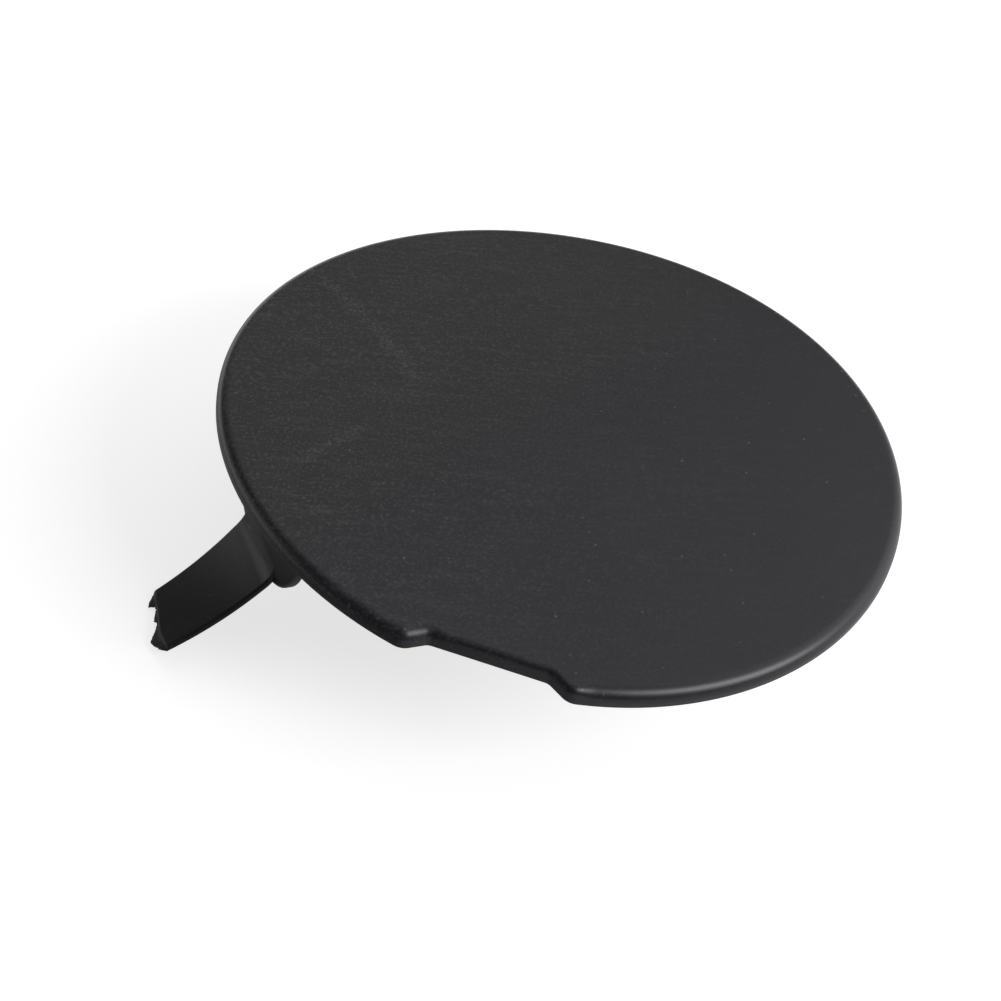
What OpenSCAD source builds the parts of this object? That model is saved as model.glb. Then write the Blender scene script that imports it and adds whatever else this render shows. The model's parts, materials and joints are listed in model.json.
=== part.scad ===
// Round snap-in cover for the towing eye opening of a bumper, moulded in one piece with its tether.
// The seat plane, where the lowest edge of the cap meets the bumper, is at z = 0 and +z points out of
// the visible face. The cap is bent about the x direction, so its edges at +y and -y lie lowest.

/* [Cap] */
// Diameter of the cap
cap_d = 80; // [74:1:96]
// Thickness of the cap
cap_t = 2; // [1.8:0.1:3]
// Height of the crown above the two low edges
bend_rise = 1.7; // [1:0.1:3]
// Radius of the soft outer edge of the face
edge_round = 1.1; // [0.6:0.1:1.4]

/* [Pry notch] */
// Direction of the notch, counted from +x
notch_az = 241; // [225:1:270]
// Distance from the centre of the cap to the floor of the notch
notch_floor_r = 37.3; // [36.6:0.1:37.8]
// Length of the straight floor of the notch
notch_floor_len = 13; // [8:0.5:18]
// Slope of the two ramps of the notch
notch_ramp = 34; // [28:1:45]
// Radius of the corners where the ramps meet the rim
notch_corner = 2; // [2:0.1:3]

/* [Locating ring] */
// Outside diameter of the locating ring
ring_d = 62; // [56:1:64]
// Wall of the locating ring
ring_wall = 1.6; // [1.2:0.1:2.2]
// Reach of the locating ring past the seat plane
ring_reach = 3; // [1:0.5:4]

/* [Snap tongues] */
// Direction of the tongue opposite the notch, counted from +x
tongue_az = 61; // [45:1:77]
// Angle between neighbouring tongues
tongue_step = 85; // [75:1:95]
// Width of a tongue along the ring
tongue_w = 9; // [7:0.5:12]
// Thickness of a tongue at its tip
tongue_t = 1.6; // [1.2:0.1:2]
// Reach of a tongue past the seat plane
tongue_reach = 9.5; // [9:0.5:12]
// Thickness of the lip that the hooks clamp, behind the end of the ring
lip_t = 2; // [1.5:0.1:2.5]
// Overhang of the hook on a tongue
hook_out = 1.2; // [0.8:0.1:2]
// Gap between the nose of a hook and the inside of the ring
hook_gap = 0.3; // [0.2:0.1:1]

/* [Stiffening ribs] */
// Outside diameter of the hub rib
hub_d = 22; // [16:1:30]
// Thickness of the ribs
rib_t = 1.2; // [0.8:0.1:1.8]
// Height of the ribs under the crown
rib_h = 2.4; // [2:0.1:3]

/* [Tether] */
// Direction in which the tether leaves, counted from +x
tether_az = 185.8; // [183:0.2:191]
// Distance from the centre of the cap to the outer face of the lug
lug_r = 35.5; // [35:0.1:36]
// Thickness of the lug
lug_t = 1.2; // [1:0.1:2]
// Radius of the half-round lug
lug_round = 11.3; // [11:0.1:13]
// Depth of the tether's root below the crown of the face
root_depth = 12.7; // [11.9:0.1:13.4]
// Width of the tether
tether_w = 10.5; // [8:0.1:12]
// Thickness of the tether
tether_t = 0.9; // [0.7:0.1:1.4]
// Length of the tether up to the tear
tether_len = 14.4; // [10:0.1:30]
// Length of the straight stretch next to the lug
tether_straight = 3; // [1:0.1:6]
// Slope of the tether at the lug
tether_slope = 48; // [40:1:55]
// Slope of the tether at the tear
tear_slope = 32; // [15:1:38]
// Twist of the tether over its length
tether_twist = 11.5; // [0:0.5:20]

/* [Hidden] */
$fn = 180;
big_fn = 1440;
plastic = [0.07, 0.072, 0.075];
// Small overlap that keeps a cut clean, and how far a cutting shape runs past what it cuts
eps = 0.01;
past = 1;

cap_r = cap_d / 2;
crown_z = bend_rise + cap_t;
bend_r = (cap_r * cap_r + bend_rise * bend_rise) / (2 * bend_rise);
// Corner inside the notch, between its floor and a ramp
notch_fillet = 1.2;

ring_r = ring_d / 2;
ring_in = ring_r - ring_wall;
ring_chamfer = 0.4;
// Width round the ring over which the rim of the bumper's recess clears the bent cap
ring_rim = 1.2;
tongue_r = ring_in - hook_gap - hook_out;
tongue_deg = tongue_w / tongue_r * 180 / PI;
tongue_azs = [for (k = [-1:1]) tongue_az + k * tongue_step];
// How much thicker a tongue is at its root, the slope of its shoulder, the land on its nose and how
// far its tip is drawn in
tongue_root = 0.8;
hook_slope = 0.6;
hook_land = 0.8;
tongue_tip = 0.5;

// Ribs run half way between the tongues, and at even steps round the side of the notch
rib_azs = concat(
    [for (k = [-1, 1]) tongue_az + k * tongue_step / 2],
    [for (k = [-1:1]) tongue_az + 180 + k * (180 - tongue_step) / 2]
);

lug_chamfer = 0.3;
// How far the round foot of the lug reaches below the underside of the tether's root
lug_foot = 1;
lug_z = crown_z - root_depth - tether_t / cos(tether_slope) - lug_foot + lug_round;

// Height of the bent face over the seat plane at distance y from the ridge
function face_z(y) = crown_z - bend_r + sqrt(bend_r * bend_r - y * y);

// The part of the children that lies lower than a surface drop below the face and parallel to it
module below_face(drop) {
    intersection() {
        children();
        translate([0, 0, crown_z - drop - bend_r])
            rotate([0, 90, 0])
                cylinder(r = bend_r, h = 2 * cap_d, center = true, $fn = big_fn);
    }
}

// Notch outline, in its own frame: x outwards through the middle of the notch, y along the rim.
// The corner arc touches the rim's circle from inside and the ramp from the side of the cap.
ramp_dir = [sin(notch_ramp), cos(notch_ramp)];
ramp_out = [cos(notch_ramp), -sin(notch_ramp)];
ramp_foot = [notch_floor_r, notch_floor_len / 2];
corner_base = ramp_foot - notch_corner * ramp_out;
corner_along = corner_base * ramp_dir;
corner_run = -corner_along
    + sqrt(corner_along * corner_along - corner_base * corner_base + pow(cap_r - notch_corner, 2));
corner_c = corner_base + corner_run * ramp_dir;
corner_az = atan2(corner_c.y, corner_c.x);
fillet_c = [notch_floor_r + notch_fillet, ramp_foot.y - notch_fillet * tan(notch_ramp / 2)];
arc_steps = 6;

// A place on an outline: point and outward direction, for an arc whose outside is its convex side
function on_arc(c, r, a) = [c + r * [cos(a), sin(a)], [cos(a), sin(a)]];
// The same for an arc that is hollow towards the outside
function in_arc(c, r, a) = [c + r * [cos(a), sin(a)], -[cos(a), sin(a)]];
function mirrored(p) = [[p[0].x, -p[0].y], [p[1].x, -p[1].y]];
function turned(v, a) = [v.x * cos(a) - v.y * sin(a), v.x * sin(a) + v.y * cos(a)];
function reversed(list) = [for (k = [len(list) - 1:-1:0]) list[k]];

// One half of the notch, from its floor out to the rim
half_notch = concat(
    [for (k = [0:arc_steps]) in_arc(fillet_c, notch_fillet, 180 - notch_ramp * k / arc_steps)],
    [for (k = [0:arc_steps])
        on_arc(corner_c, notch_corner, -notch_ramp + (corner_az + notch_ramp) * k / arc_steps)]
);
rim_steps = 124;
rim_path = [for (k = [1:rim_steps - 1])
    on_arc([0, 0], cap_r, corner_az + (360 - 2 * corner_az) * k / rim_steps)];
cap_path = [for (p = concat(half_notch, rim_path, [for (q = reversed(half_notch)) mirrored(q)]))
    [turned(p[0], notch_az), turned(p[1], notch_az)]];

// Outline of the cap in plan: a circle with the pry notch cut out of it
module cap_outline() {
    notch_points = [for (q = reversed(half_notch)) mirrored(q)[0]];
    difference() {
        circle(r = cap_r);
        rotate(notch_az)
            polygon(concat(
                notch_points,
                [for (p = half_notch) p[0]],
                [[cap_r + past, half_notch[len(half_notch) - 1][0].y],
                 [cap_r + past, -half_notch[len(half_notch) - 1][0].y]]
            ));
    }
}

// What the soft edge takes away: a ring swept along the outline, with a hollow quarter-round inside.
// Its first and last facets run on past the face and the wall, so that they cut them cleanly.
round_steps = 6;
step_deg = 90 / round_steps;
over = 0.25;
edge_clear = 0.5;
function round_at(a) = [edge_round * (cos(a) - 1), edge_round * (sin(a) - 1)];
edge_section = concat(
    [round_at(90) + over * (round_at(90) - round_at(90 - step_deg)) * round_steps / 2],
    [for (k = [1:round_steps - 1]) round_at(90 - k * step_deg)],
    [round_at(0) + over * (round_at(0) - round_at(step_deg)) * round_steps / 2],
    [[edge_clear, edge_clear - 2 * edge_round], [edge_clear, edge_clear]]
);

module edge_cutter() {
    n = len(edge_section);
    m = len(cap_path);
    points = [for (p = cap_path) for (s = edge_section)
        let (q = p[0] + s.x * p[1]) [q.x, q.y, face_z(q.y) + s.y]];
    faces = [for (i = [0:m - 1]) for (j = [0:n - 1])
        let (a = i * n + j, b = i * n + (j + 1) % n,
             c = ((i + 1) % m) * n + (j + 1) % n, d = ((i + 1) % m) * n + j)
        each [[a, b, c], [a, c, d]]];
    polyhedron(points = points, faces = faces, convexity = 6);
}

// The cap itself, bent to the bumper's curve
module cap() {
    difference() {
        below_face(0)
            linear_extrude(height = crown_z + past)
                cap_outline();
        translate([0, 0, -eps])
            below_face(cap_t)
                cylinder(r = cap_r + past, h = crown_z);
        edge_cutter();
    }
}

// Runs up from z = bottom into the middle of the cap's thickness
module from_below(bottom) {
    below_face(cap_t / 2)
        translate([0, 0, bottom])
            children();
}

// Ring that centres the cover in the opening. Its outer wall ends at one level all round, just below
// the low sides of the bent cap, and a 45 degree flare carries it from there up to the cap.
module locating_ring() {
    tall = crown_z + ring_reach;
    wall_top = face_z(ring_r + ring_rim) - cap_t + ring_reach;
    from_below(-ring_reach)
        rotate_extrude()
            polygon([
                [ring_in, tall], [ring_in, 0], [ring_r - ring_chamfer, 0],
                [ring_r, ring_chamfer], [ring_r, wall_top], [ring_r + tall - wall_top, tall]
            ]);
}

// Springy tongue inside the ring, with a hook that snaps behind the lip of the opening
module snap_tongue() {
    tall = crown_z + tongue_reach;
    tongue_in = tongue_r - tongue_t;
    shoulder = tongue_reach - ring_reach - lip_t;
    nose_r = tongue_r + hook_out;
    from_below(-tongue_reach)
        rotate(-tongue_deg / 2)
            rotate_extrude(angle = tongue_deg)
                polygon([
                    [tongue_in - tongue_root, tall], [tongue_in, 0], [tongue_r - tongue_tip, 0],
                    [nose_r, shoulder - hook_slope - hook_land], [nose_r, shoulder - hook_slope],
                    [tongue_r, shoulder], [tongue_r, tall]
                ]);
}

// Hub rib and the ribs that run from it to the locating ring
module ribs() {
    bottom = bend_rise - rib_h;
    hub_r = hub_d / 2;
    from_below(bottom) {
        difference() {
            cylinder(r = hub_r, h = crown_z);
            translate([0, 0, -past])
                cylinder(r = hub_r - rib_t, h = crown_z + 2 * past);
        }
        for (az = rib_azs)
            rotate(az)
                translate([hub_r - rib_t / 2, -rib_t / 2, 0])
                    cube([ring_in + ring_wall / 2 - hub_r + rib_t / 2, rib_t, crown_z]);
    }
}

// Half-round lug under the edge, which carries the tether
module lug() {
    below_face(cap_t / 2)
        rotate(tether_az)
            translate([lug_r - lug_t, 0, lug_z])
                rotate([0, 90, 0])
                    rotate_extrude()
                        polygon([
                            [0, 0], [lug_round - lug_chamfer, 0], [lug_round, lug_chamfer],
                            [lug_round, lug_t - lug_chamfer], [lug_round - lug_chamfer, lug_t], [0, lug_t]
                        ]);
}

// The tether runs straight out of the lug and then bends up in one arc of decreasing slope
slope_drop = tether_slope - tear_slope;
bend_run = tether_len - tether_straight;
tether_bend_r = bend_run / (slope_drop * PI / 180);
function slope_at(s) = tether_slope - slope_drop * max(0, s - tether_straight) / bend_run;
function run_at(s) = min(s, tether_straight) * cos(tether_slope)
    + tether_bend_r * (sin(tether_slope) - sin(slope_at(s)));
function fall_at(s) = min(s, tether_straight) * sin(tether_slope)
    + tether_bend_r * (cos(slope_at(s)) - cos(tether_slope));

// A point of the tether: s along it, y across it and d below its upper side, in the lug's frame
function tether_point(s, y, d) =
    let (a = slope_at(s), w = tether_twist * s / tether_len, lift = y * sin(w) - d * cos(w))
    [run_at(s) + sin(a) * lift, y * cos(w) + d * sin(w), cos(a) * lift - fall_at(s)];

// The tear: place across the tether, as a share of its half width, and how far its upper and its
// lower side reach past the end, in mm. The lower side is drawn out into two ragged lobes.
tear = [
    [-1, -0.4, 0.6], [-0.9, -0.35, 1.2], [-0.78, -0.15, 1.4], [-0.64, 0, 0.6], [-0.48, 0.05, 0.65],
    [-0.36, 0.05, 1], [-0.22, 0.1, 1.15], [-0.08, 0.2, 0.95], [0.06, 0.3, 1.1], [0.18, 0.35, 1.5],
    [0.31, 0.4, 2], [0.42, 0.45, 2.2], [0.58, 0.45, 1.9], [0.75, 0.35, 1.5], [0.9, 0.25, 0.9],
    [1, 0.2, 0.5]
];
bend_steps = 9;
root_run = lug_t / 2 / cos(tether_slope);

module tether() {
    half = tether_w / 2;
    stations = concat(
        [-root_run, 0],
        [for (k = [0:bend_steps - 1]) tether_straight + bend_run * k / bend_steps]
    );
    upper = concat(
        [for (s = stations) [for (c = tear) tether_point(s, c[0] * half, 0)]],
        [[for (c = tear) tether_point(tether_len + c[1], c[0] * half, 0)]]
    );
    lower = concat(
        [for (s = stations) [for (c = tear) tether_point(s, c[0] * half, tether_t)]],
        [[for (c = tear) tether_point(tether_len + c[2], c[0] * half, tether_t)]]
    );
    n = len(tear);
    m = len(stations) + 1;
    under = n * m;
    faces = concat(
        [for (i = [0:m - 2]) for (j = [0:n - 2]) let (a = i * n + j)
            each [[a, a + n + 1, a + n], [a, a + 1, a + n + 1]]],
        [for (i = [0:m - 2]) for (j = [0:n - 2]) let (a = under + i * n + j)
            each [[a, a + n, a + n + 1], [a, a + n + 1, a + 1]]],
        [for (i = [0:m - 2]) let (a = i * n, b = under + a)
            each [[a, b + n, b], [a, a + n, b + n]]],
        [for (i = [0:m - 2]) let (a = i * n + n - 1, b = under + a)
            each [[a, b, b + n], [a, b + n, a + n]]],
        [for (j = [0:n - 2]) let (a = j, b = under + j)
            each [[a, b, b + 1], [a, b + 1, a + 1]]],
        [for (j = [0:n - 2]) let (a = (m - 1) * n + j, b = under + a)
            each [[a, b + 1, b], [a, a + 1, b + 1]]]
    );
    rotate(tether_az)
        translate([lug_r, 0, crown_z - root_depth])
            polyhedron(
                points = [for (row = concat(upper, lower)) each row],
                faces = faces, convexity = 6
            );
}

module cover() {
    color(plastic) {
        cap();
        locating_ring();
        for (az = tongue_azs)
            rotate(az)
                snap_tongue();
        ribs();
        lug();
        tether();
    }
}

cover();
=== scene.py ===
"""A round snap-in cover for a towing eye opening, moulded in one piece with its tether.

Lengths are in metres and angles in radians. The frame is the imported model's: the seat plane is z = 0, +z
points out of the visible face, and the cap is bent about the x direction.
"""
import json
import math

import bpy
import numpy as np
from bpy.props import FloatProperty, FloatVectorProperty, IntProperty, PointerProperty
from mathutils import Euler, Matrix, Vector


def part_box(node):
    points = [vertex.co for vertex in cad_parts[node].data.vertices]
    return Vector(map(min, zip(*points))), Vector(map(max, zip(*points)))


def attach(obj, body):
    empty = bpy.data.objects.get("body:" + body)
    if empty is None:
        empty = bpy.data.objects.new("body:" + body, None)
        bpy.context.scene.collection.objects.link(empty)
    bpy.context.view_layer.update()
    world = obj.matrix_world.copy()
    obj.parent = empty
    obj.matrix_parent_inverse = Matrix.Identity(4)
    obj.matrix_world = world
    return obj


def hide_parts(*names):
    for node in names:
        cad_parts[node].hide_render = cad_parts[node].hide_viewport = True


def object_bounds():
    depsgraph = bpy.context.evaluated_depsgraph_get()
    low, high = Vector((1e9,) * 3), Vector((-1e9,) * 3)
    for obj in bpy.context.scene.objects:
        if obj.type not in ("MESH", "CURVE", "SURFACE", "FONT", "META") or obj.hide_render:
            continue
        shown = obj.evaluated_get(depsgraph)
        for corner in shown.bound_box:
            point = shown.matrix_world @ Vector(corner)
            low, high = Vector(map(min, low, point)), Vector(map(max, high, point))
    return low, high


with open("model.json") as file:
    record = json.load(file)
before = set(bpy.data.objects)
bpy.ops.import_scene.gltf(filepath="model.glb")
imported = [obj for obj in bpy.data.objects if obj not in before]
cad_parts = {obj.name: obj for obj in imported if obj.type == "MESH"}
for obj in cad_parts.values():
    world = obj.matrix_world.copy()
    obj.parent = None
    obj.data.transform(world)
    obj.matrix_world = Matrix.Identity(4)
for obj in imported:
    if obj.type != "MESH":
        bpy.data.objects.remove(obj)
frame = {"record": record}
CAD_BOX = [list(corner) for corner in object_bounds()]

bl_info = {
    "name": "Tow hook cover",
    "version": (1, 0, 0),
    "blender": (4, 5, 0),
    "location": "3D View > Sidebar > Tow cover",
    "description": "Builds a moulded tow hook cover with its torn tether, its finish and a plain studio",
    "category": "Add Mesh",
}

NODE = "cover"
BODY = "root"
MM = 0.001
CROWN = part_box(NODE)[1].z
CAP_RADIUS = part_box(NODE)[1].x
RING_RADIUS = frame["record"]["mounts"][0]["dims"]["r_mm"] * MM


def length(name, description, default):
    return FloatProperty(name=name, description=description, default=default, unit="LENGTH", precision=5)


def angle(name, description, degrees):
    return FloatProperty(name=name, description=description, default=math.radians(degrees), subtype="ANGLE")


def colour(name, description, default):
    return FloatVectorProperty(name=name, description=description, default=default, subtype="COLOR")


def factor(name, description, default):
    return FloatProperty(name=name, description=description, default=default, subtype="FACTOR")


def number(name, description, default):
    return FloatProperty(name=name, description=description, default=default)


class CoverSizes(bpy.types.PropertyGroup):
    """Sizes of the moulding."""

    cap_radius: length("Cap radius", "Radius of the round cap", CAP_RADIUS)
    cap_thickness: length("Cap thickness", "Thickness of the cap", 2 * MM)
    crown: length("Crown", "Height of the ridge of the face above the seat plane", CROWN)
    edge_round: length("Edge round", "Radius of the soft outer edge", 1.5 * MM)
    notch_round: length("Notch round", "Radius of the soft edge along the pry notch", 0.8 * MM)
    notch_round_turn: angle("Notch round, middle", "Angle from the notch's middle to that round's", 3)
    notch_round_half: angle("Notch round, half", "Angle to either side over which it is so small", 9.5)
    notch_round_fade: angle("Notch round, fade", "Angle over which it grows to the edge round", 4.5)
    lower_round: length("Lower round", "Radius of the lower edge of the rim", 0.12 * MM)
    notch_turn: angle("Notch direction", "Direction of the pry notch, counted from +x", 241)
    notch_floor: length("Notch floor", "Distance from the centre to the floor of the notch", 37.3 * MM)
    notch_length: length("Notch length", "Length of the floor of the notch", 13 * MM)
    notch_ramp: angle("Notch ramp", "Slope of the two ramps of the notch", 34)
    notch_corner: length("Notch corner", "Radius where a ramp meets the rim", 2 * MM)
    notch_fillet: length("Notch fillet", "Radius between the floor and a ramp", 1.2 * MM)
    ring_radius: length("Ring radius", "Outside radius of the locating ring", RING_RADIUS)
    ring_wall: length("Ring wall", "Wall of the locating ring", 1.6 * MM)
    ring_reach: length("Ring reach", "Reach of the ring past the seat plane", 3 * MM)
    ring_chamfer: length("Ring chamfer", "Chamfer at the free end of the ring", 0.4 * MM)
    ring_rim: length("Ring rim", "Width round the ring over which the recess clears the cap", 1.2 * MM)
    root_flare: length("Root flare", "Fillet where a wall stands on the cap", 0.5 * MM)
    corner_round: length("Corner round", "Radius on the sharp corners of tongues and ribs", 0.15 * MM)
    tongue_turn: angle("Tongue direction", "Direction of the middle tongue, counted from +x", 61)
    tongue_step: angle("Tongue step", "Angle between neighbouring tongues", 85)
    tongue_width: length("Tongue width", "Width of a tongue", 9 * MM)
    tongue_thickness: length("Tongue thickness", "Thickness of a tongue at its tip", 1.6 * MM)
    tongue_root: length("Tongue root", "How much thicker a tongue is at its root", 0.8 * MM)
    tongue_reach: length("Tongue reach", "Reach of a tongue past the seat plane", 9.5 * MM)
    tongue_draw: length("Tongue draw", "How far the tip of a tongue draws in from its outer face", 0.5 * MM)
    lip: length("Lip", "Thickness of the lip that the hooks clamp", 2 * MM)
    hook_out: length("Hook overhang", "Overhang of a hook", 1.2 * MM)
    hook_slope: length("Hook slope", "Height over which a hook comes out of its tongue", 0.6 * MM)
    hook_land: length("Hook land", "Height of the upright nose of a hook", 0.8 * MM)
    hook_gap: length("Hook gap", "Gap between the nose of a hook and the ring", 0.3 * MM)
    hub_radius: length("Hub radius", "Outside radius of the hub rib", 11 * MM)
    hub_chamfer: length("Hub chamfer", "Chamfer at the free end of the hub rib", 0.2 * MM)
    rib_thickness: length("Rib thickness", "Thickness of the ribs", 1.2 * MM)
    rib_height: length("Rib height", "Height of the ribs below the middle of the underside", 2.4 * MM)
    tether_turn: angle("Tether direction", "Direction in which the tether leaves, counted from +x", 185.8)
    lug_radius: length("Lug face", "Distance from the centre to the outer face of the lug", 35.5 * MM)
    lug_thickness: length("Lug thickness", "Thickness of the lug", 1.2 * MM)
    lug_round: length("Lug round", "Radius of the round lug", 11.3 * MM)
    lug_edge: length("Lug edge", "Radius on the edges of the lug", 0.3 * MM)
    lug_foot: length("Lug foot", "Reach of the lug below the underside of the tether's root", 1 * MM)
    root_depth: length("Root depth", "Depth of the tether's root below the crown", 12.7 * MM)
    tether_width: length("Tether width", "Width of the tether", 10.5 * MM)
    tether_thickness: length("Tether thickness", "Thickness of the tether", 0.9 * MM)
    tether_round: length("Tether round", "Radius along the sides of the tether", 0.42 * MM)
    tether_length: length("Tether length", "Length of the tether up to the tear", 14.4 * MM)
    tether_foot: length("Tether foot", "Length of the tether before the corner at its root", 2.6 * MM)
    tether_straight: length("Tether straight", "Straight stretch of the tether next to the lug", 3 * MM)
    tether_slope: angle("Tether slope", "Slope of the tether at the lug", 48)
    tear_slope: angle("Tear slope", "Slope of the tether at the tear", 32)
    tether_twist: angle("Tether twist", "Twist of the tether over its length", 11.5)
    tether_fold: length("Tether fold", "Inner radius of the fold between lug and tether", 4.5 * MM)
    fold_slope: angle("Fold slope", "Slope at which the fold leaves the lug's face", 87)
    crease_depth: length("Crease depth", "Depth of the creases in the fold", 0.06 * MM)
    tear_stretch: length("Tear stretch", "Length over which the tether's end is drawn out", 1.5 * MM)
    tear_fibre: length("Tear fibre", "Roughness of the tear", 0.09 * MM)
    tear_seed: IntProperty(name="Tear seed", description="Seed of the roughness of the tear", default=7)


class CoverFinish(bpy.types.PropertyGroup):
    """Colours and grain of the moulding."""

    plastic: colour("Plastic", "Colour of the black plastic", (0.0060, 0.0060, 0.0062))
    plastic_cool: colour("Plastic, cool", "Colour on the cooler side of the face", (0.0058, 0.0060, 0.0112))
    # Painted shade: the parts below the cap get this darker colour for the shade that falls under it
    plastic_in_shade: colour("Plastic, in painted shade", "Colour of the parts below the cap", (0.0030, 0.0031, 0.0058))
    bloom: colour("Bloom", "Colour of the pale grain and flow marks", (0.053, 0.053, 0.053))
    dust: colour("Dust", "Colour of the dust specks", (0.085, 0.085, 0.085))
    break_white: colour("Stress white", "Colour of the stretched plastic at the tear", (0.10, 0.10, 0.098))
    roughness: factor("Roughness", "Roughness of the plastic", 0.36)
    grain: factor("Grain", "How strongly the peaks of the grain pale the plastic", 0.76)
    scuffs: factor("Scuffs", "How strongly the peaks of the scuffs pale the plastic", 0.18)
    cloud_scale: number("Cloud scale", "Slow changes of tone in a metre", 45)
    grain_scale: number("Grain scale", "Grains in a metre", 2700)
    scuff_scale: number("Scuff scale", "Scuffs in a metre, side by side", 1500)
    scuff_stretch: number("Scuff stretch", "Length of a scuff as a multiple of its width", 7)
    scuff_turn: angle("Scuff direction", "Direction of the scuffs in plan", -12)
    dust_scale: number("Dust scale", "Cells in a metre that may hold a speck of dust", 420)
    fibre_scale: number("Fibre scale", "Fibres in a metre at the tear", 2600)
    bump: factor("Bump", "How strongly the grain bends the surface", 0.10)
    bump_height: length("Bump height", "Height of the grain", 0.08 * MM)


class CoverStudio(bpy.types.PropertyGroup):
    """Camera, lights and floor."""

    camera_place: FloatVectorProperty(name="Camera place", description="Where the camera stands",
                                      subtype="TRANSLATION", default=(-0.08715, -0.17454, 0.16444))
    camera_turn: FloatVectorProperty(name="Camera turn", description="How the camera is turned",
                                     default=tuple(math.radians(a) for a in (47.333, -10.125, -15.753)),
                                     subtype="EULER")
    sensor_mm: number("Sensor", "Width of the camera's sensor, in millimetres", 36)
    lens_mm: number("Lens", "Focal length on that sensor, in millimetres", 79.12)
    floor_size: length("Floor size", "Side of the square floor", 4.0)
    floor_gap: length("Floor gap", "Gap between the lowest point of the cover and the floor", 0.1 * MM)
    floor_tone: factor("Floor", "Tone of the floor", 0.50)
    # In reflections the floor glows only this much at the left front, a painted shadow of the cover there
    floor_dim: factor("Floor, mirrored", "Tone of the floor in reflections at the left front", 0.19)
    floor_lift: number("Floor lift", "How much brighter the camera sees the floor", 0.72)
    sky: number("Sky", "Strength of the even light from all round", 0.085)
    window_azimuth: angle("Window azimuth", "Direction of the window light in plan, counted from +x", 314)
    window_elevation: angle("Window elevation", "How high the window light stands", 36)
    window_along: FloatVectorProperty(name="Window side", description="Direction of its longer side",
                                      subtype="XYZ", default=(0.76, 0.31, -0.57))
    window_width: length("Window width", "Longer side of the window light", 0.84)
    window_height: length("Window height", "Shorter side of the window light", 0.38)
    window_power: FloatProperty(name="Window power", description="Power of the window light", default=7.4,
                                unit="POWER")


def sizes():
    return bpy.context.scene.cover_sizes


def finish():
    return bpy.context.scene.cover_finish


def studio():
    return bpy.context.scene.cover_studio


def face_height(y):
    """Height of the bent face: a cylinder about a line parallel to x, highest at y = 0, down to the wall's
    thickness above the seat plane at the cap's edge."""
    s = sizes()
    rise = s.crown - s.cap_thickness
    bend = (s.cap_radius ** 2 + rise ** 2) / (2 * rise)
    return s.crown - bend + np.sqrt(bend ** 2 - np.square(y))


def underside(y):
    """Height of the cap's underside: the face lowered by the thickness."""
    return face_height(y) - sizes().cap_thickness


def around(points, turn):
    """Turns plan points (..., 2) about the centre."""
    c, s = math.cos(turn), math.sin(turn)
    return np.stack([c * points[..., 0] - s * points[..., 1], s * points[..., 0] + c * points[..., 1]], -1)


def polar(radius, turn, height):
    """Points at a radius, direction and height."""
    radius, turn, height = np.broadcast_arrays(radius, turn, height)
    return np.stack([radius * np.cos(turn), radius * np.sin(turn), height], -1)


def eased(n, ends):
    """n values from 0 to 1, closer together near both ends: a share of a half cosine wave, the rest even."""
    t = np.linspace(0, 1, n)
    return (1 - ends) * t + ends * (0.5 - 0.5 * np.cos(math.pi * t))


def bordered(border, fine, count):
    """Values from -1 to 1: fine ones in a border at either end, and count from border to border."""
    rim = border * np.linspace(0, 1, fine)
    return np.concatenate([rim - 1, np.linspace(border - 1, 1 - border, count)[1:-1], 1 - border + rim])


def softened(u, v, half_u, half_v, radius):
    """Moves the edge of a rectangle of half sizes half_u and half_v onto round corners: what lies outside the
    inner rectangle is drawn in to the radius from it."""
    iu = np.clip(u, radius - half_u, half_u - radius)
    iv = np.clip(v, radius - half_v, half_v - radius)
    far = np.hypot(u - iu, v - iv)
    pull = np.minimum(1.0, radius / np.maximum(far, 1e-9))
    return iu + (u - iu) * pull, iv + (v - iv) * pull


def loft(rings, wrap=False):
    """Points and faces of a skin over rings (m, n, 3), each closed on itself. With wrap the last ring joins
    the first. Otherwise the first and last rings are closed by fans to their middles."""
    m, n, _ = rings.shape
    index = np.arange(m * n).reshape(m, n)
    upper = index if wrap else index[:-1]
    lower = np.roll(index, -1, 0) if wrap else index[1:]
    quads = np.stack([upper, lower, np.roll(lower, -1, 1), np.roll(upper, -1, 1)], -1).reshape(-1, 4)
    points = rings.reshape(-1, 3)
    if wrap:
        return points, [quads]
    poles = np.stack([rings[0].mean(0), rings[-1].mean(0)])
    first = np.stack([np.full(n, m * n), index[0], np.roll(index[0], -1)], -1)
    last = np.stack([np.full(n, m * n + 1), np.roll(index[-1], -1), index[-1]], -1)
    return np.concatenate([points, poles]), [quads, first, last]


def block(lattice):
    """Points and faces of the skin of a lattice (a, b, c, 3) of points that fills a solid, and which of the
    lattice's points the skin uses. The lattice's three directions are right-handed, so the faces point
    outwards."""
    a, b, c, _ = lattice.shape
    index = np.arange(a * b * c).reshape(a, b, c)

    def sheet(grid, flip):
        corners = [grid[:-1, :-1], grid[1:, :-1], grid[1:, 1:], grid[:-1, 1:]]
        return np.stack(corners[::-1] if flip else corners, -1).reshape(-1, 4)

    quads = np.concatenate([
        sheet(index[0], True), sheet(index[-1], False),
        sheet(index[:, 0], False), sheet(index[:, -1], True),
        sheet(index[:, :, 0], True), sheet(index[:, :, -1], False),
    ])
    used, packed = np.unique(quads, return_inverse=True)
    return lattice.reshape(-1, 3)[used], [packed.reshape(-1, 4)], used


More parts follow.
